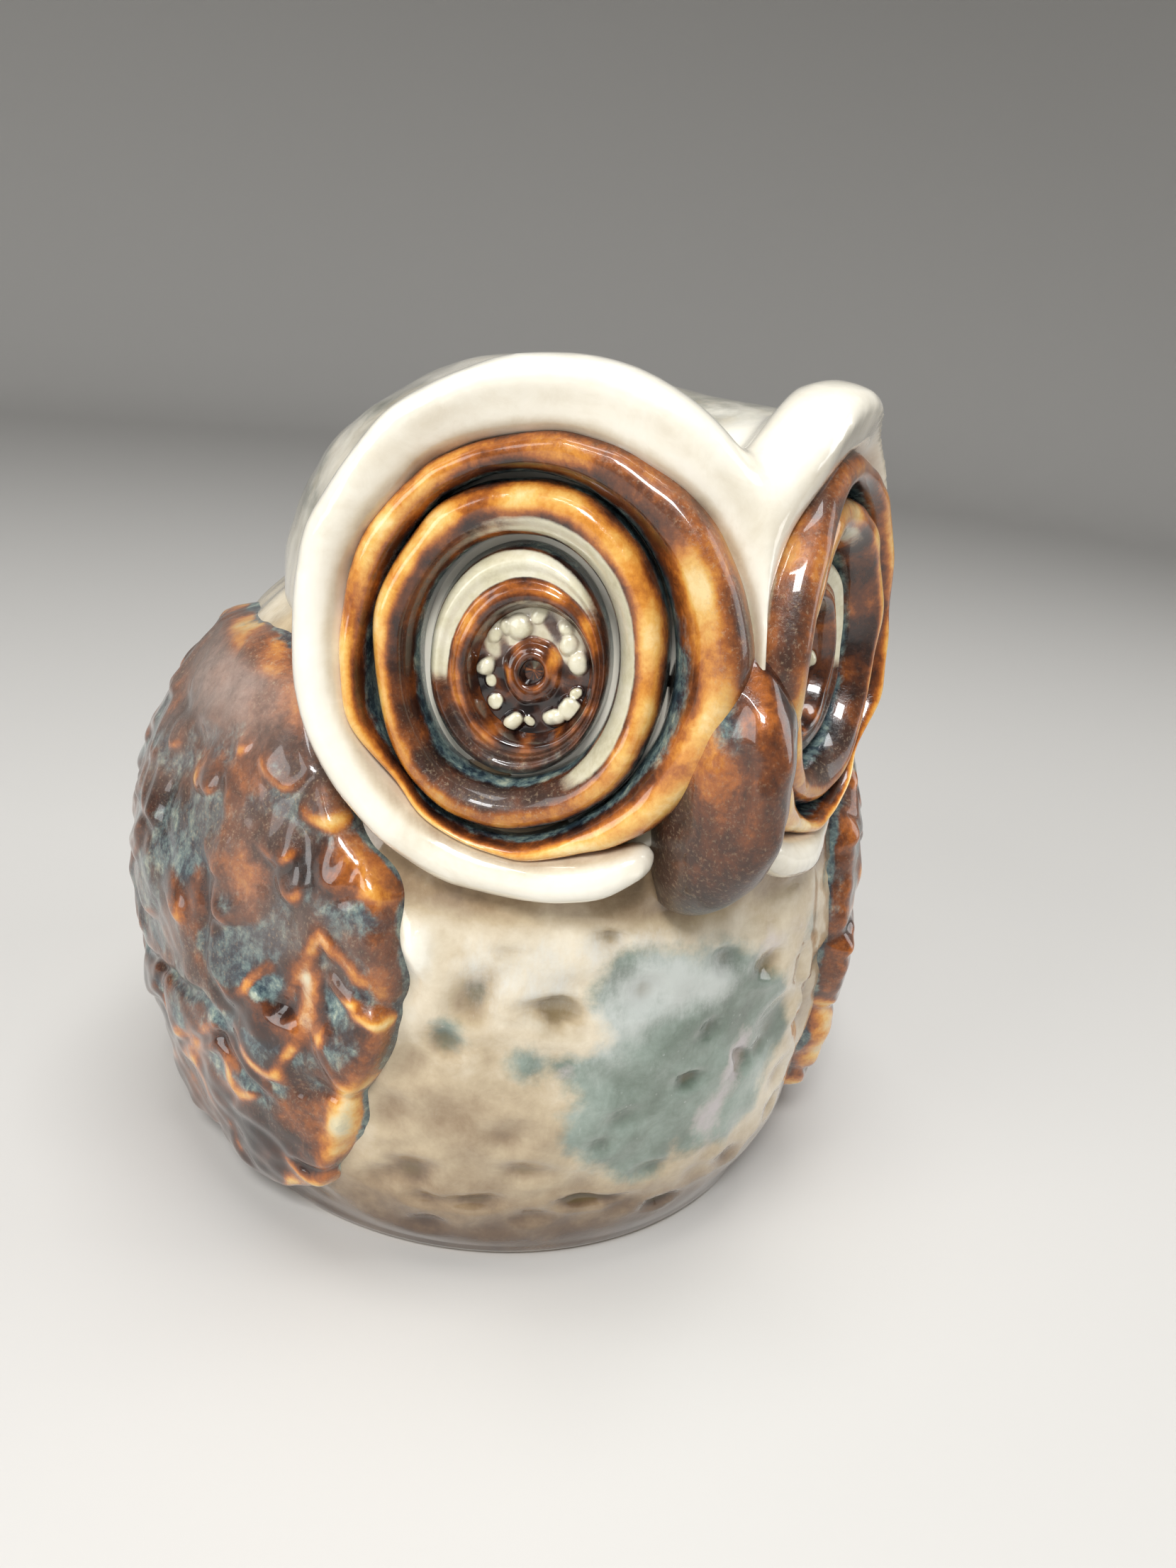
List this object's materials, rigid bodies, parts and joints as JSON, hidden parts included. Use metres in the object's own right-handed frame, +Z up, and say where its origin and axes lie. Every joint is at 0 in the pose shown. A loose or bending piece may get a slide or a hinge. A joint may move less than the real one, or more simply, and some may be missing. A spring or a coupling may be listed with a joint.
{
  "type": "owl coin bank",
  "caption": "Glazed stoneware owl money box: hollow round body and head with a coin slot behind, coiled eyes, long beak, feathered wings and a cork in the base.",
  "frame": {"origin": "on the ground, under the middle of the owl's outer box", "axes": "+Z up, the owl faces -Y, the owl's own left is +X"},
  "size_m": [0.1416, 0.152, 0.1482],
  "materials": {
    "belly_glaze": "glossy beige glaze with a blue-green patch and tan hollows",
    "cream_glaze": "glossy cream glaze",
    "amber_glaze": "glossy amber to dark brown glaze, blue-black in the grooves",
    "eye_glaze": "glossy cream glaze breaking to amber and dark brown",
    "bead_glaze": "glossy cream and pale blue beads on dark brown",
    "beak_glaze": "dark brown glaze with fine crystals and rust streaks",
    "wing_glaze": "glossy dark brown glaze with grey-blue mottling and amber edges",
    "cork": "matt pressed cork"
  },
  "bodies": {
    "bank": {"base_slab": "belly_glaze", "body_shell": "belly_glaze", "head_shell": "cream_glaze", "face_rim_right": "cream_glaze", "face_rim_left": "cream_glaze", "eye_outer_ring_right": "amber_glaze", "eye_outer_ring_left": "amber_glaze", "eye_inner_ring_right": "amber_glaze", "eye_inner_ring_left": "amber_glaze", "eye_disc_right": "eye_glaze", "eye_disc_left": "eye_glaze", "pupil_right": "bead_glaze", "pupil_left": "bead_glaze", "beak": "beak_glaze", "wing_right": "wing_glaze", "wing_left": "wing_glaze"},
    "stopper": {"stopper": "cork"}
  },
  "joints": [
    {"name": "stopper_pull", "type": "slide", "parent": "bank", "child": "stopper", "axis": [0, 0, -1], "range_m": [0, 0.022]}
  ]
}
